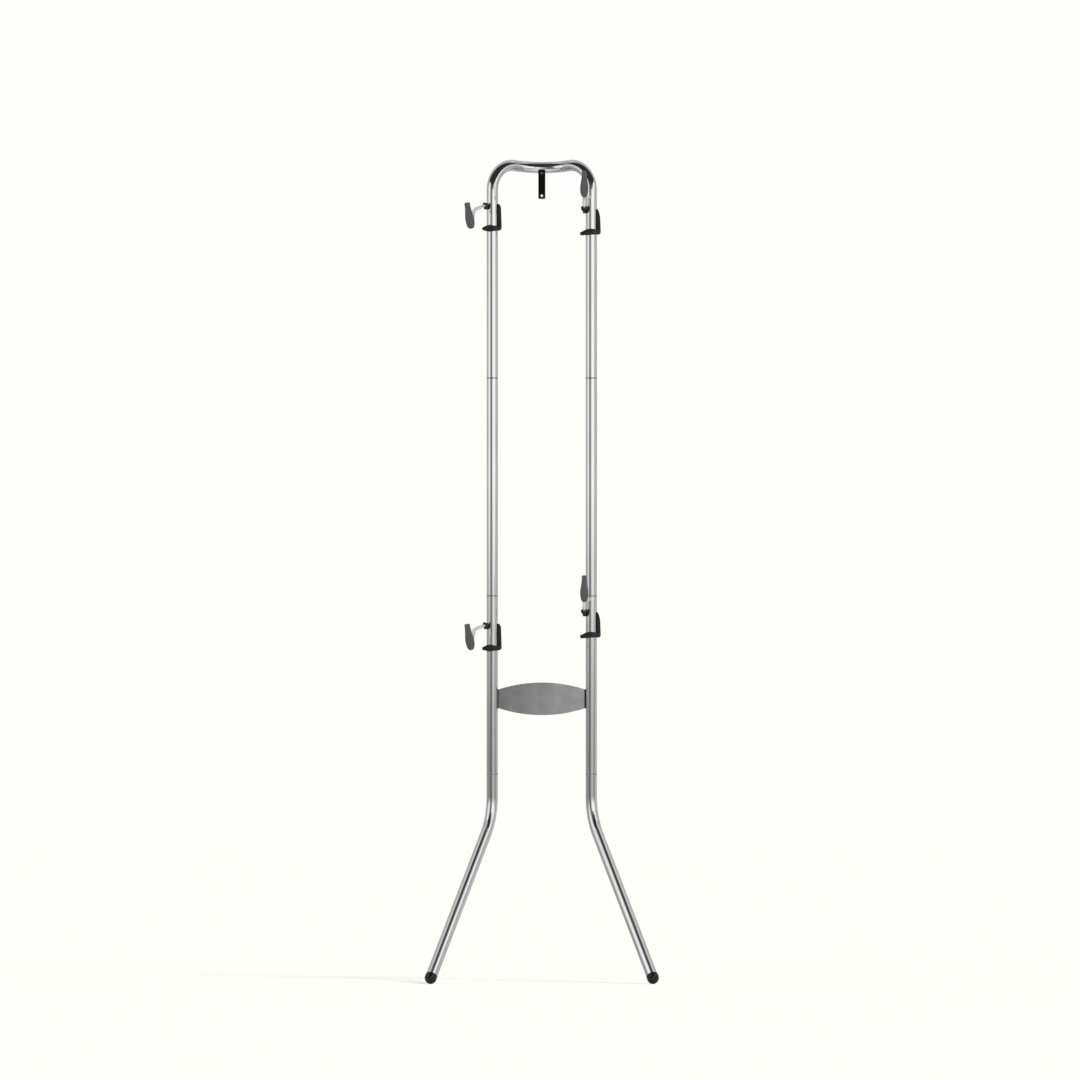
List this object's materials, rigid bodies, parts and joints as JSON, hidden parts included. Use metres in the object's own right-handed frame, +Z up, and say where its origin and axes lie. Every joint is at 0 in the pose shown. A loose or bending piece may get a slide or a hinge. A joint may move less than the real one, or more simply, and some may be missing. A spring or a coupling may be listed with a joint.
{
  "type": "bicycle stand",
  "caption": "Wall-leaning bicycle stand of plated tube, with sliding and swivelling cradle arms, a cross plate, splayed rubber-tipped legs and a wall strap.",
  "frame": {"origin": "on the floor, in the middle of the stand's box: midway between the feet's fronts and the wall", "axes": "+Z up, +Y back towards the wall, +X to the right as seen from the front"},
  "size_m": [0.5902, 0.4046, 2.0805],
  "materials": {
    "tube_chrome": "bright plated steel tube",
    "rod_steel": "bare zinc-plated steel rod",
    "bracket_black": "near-black moulded plastic with a low gloss",
    "lining_rubber": "soft black rubber lining",
    "pad_rubber": "dark grey matte rubber",
    "foot_rubber": "black rubber with a slight gloss",
    "plate_grey": "mid grey satin plastic",
    "strap_black": "black powder coat",
    "screw_black": "black zinc"
  },
  "bodies": {
    "frame": {"top_arch": "tube_chrome", "upper_tube_left": "tube_chrome", "upper_tube_right": "tube_chrome", "lower_tube_left": "tube_chrome", "lower_tube_right": "tube_chrome", "leg_left": "tube_chrome", "leg_right": "tube_chrome", "foot_cap_left": "foot_rubber", "foot_cap_right": "foot_rubber", "cross_plate": "plate_grey", "plate_screws": "screw_black", "wall_strap": "strap_black", "strap_screw": "screw_black"},
    "upper_left_grip": {"upper_left_grip_ring": "lining_rubber"},
    "upper_left_arm": {"upper_left_bracket": "bracket_black", "upper_left_grip_shoe": "lining_rubber", "upper_left_rod": "rod_steel", "upper_left_pad": "pad_rubber"},
    "upper_right_grip": {"upper_right_grip_ring": "lining_rubber"},
    "upper_right_arm": {"upper_right_bracket": "bracket_black", "upper_right_grip_shoe": "lining_rubber", "upper_right_rod": "rod_steel", "upper_right_pad": "pad_rubber"},
    "lower_left_grip": {"lower_left_grip_ring": "lining_rubber"},
    "lower_left_arm": {"lower_left_bracket": "bracket_black", "lower_left_grip_shoe": "lining_rubber", "lower_left_rod": "rod_steel", "lower_left_pad": "pad_rubber"},
    "lower_right_grip": {"lower_right_grip_ring": "lining_rubber"},
    "lower_right_arm": {"lower_right_bracket": "bracket_black", "lower_right_grip_shoe": "lining_rubber", "lower_right_rod": "rod_steel", "lower_right_pad": "pad_rubber"}
  },
  "joints": [
    {"name": "upper_left_height", "type": "slide", "parent": "frame", "child": "upper_left_grip", "axis": [0, 0, 1], "range_m": [-0.4, 0.03]},
    {"name": "upper_left_swivel", "type": "hinge", "parent": "upper_left_grip", "child": "upper_left_arm", "pos_m": [-0.12525, 0.113, 1.9633], "axis": [0, 0, 1], "range_deg": [-90, 15]},
    {"name": "upper_right_height", "type": "slide", "parent": "frame", "child": "upper_right_grip", "axis": [0, 0, 1], "range_m": [-0.4, 0.04]},
    {"name": "upper_right_swivel", "type": "hinge", "parent": "upper_right_grip", "child": "upper_right_arm", "pos_m": [0.12525, 0.113, 1.9535], "axis": [0, 0, 1], "range_deg": [-15, 90]},
    {"name": "lower_left_height", "type": "slide", "parent": "frame", "child": "lower_left_grip", "axis": [0, 0, 1], "range_m": [-0.085, 0.4]},
    {"name": "lower_left_swivel", "type": "hinge", "parent": "lower_left_grip", "child": "lower_left_arm", "pos_m": [-0.12525, 0.113, 0.9015], "axis": [0, 0, 1], "range_deg": [-90, 15]},
    {"name": "lower_right_height", "type": "slide", "parent": "frame", "child": "lower_right_grip", "axis": [0, 0, 1], "range_m": [-0.115, 0.4]},
    {"name": "lower_right_swivel", "type": "hinge", "parent": "lower_right_grip", "child": "lower_right_arm", "pos_m": [0.12525, 0.113, 0.934], "axis": [0, 0, 1], "range_deg": [-15, 90]}
  ]
}
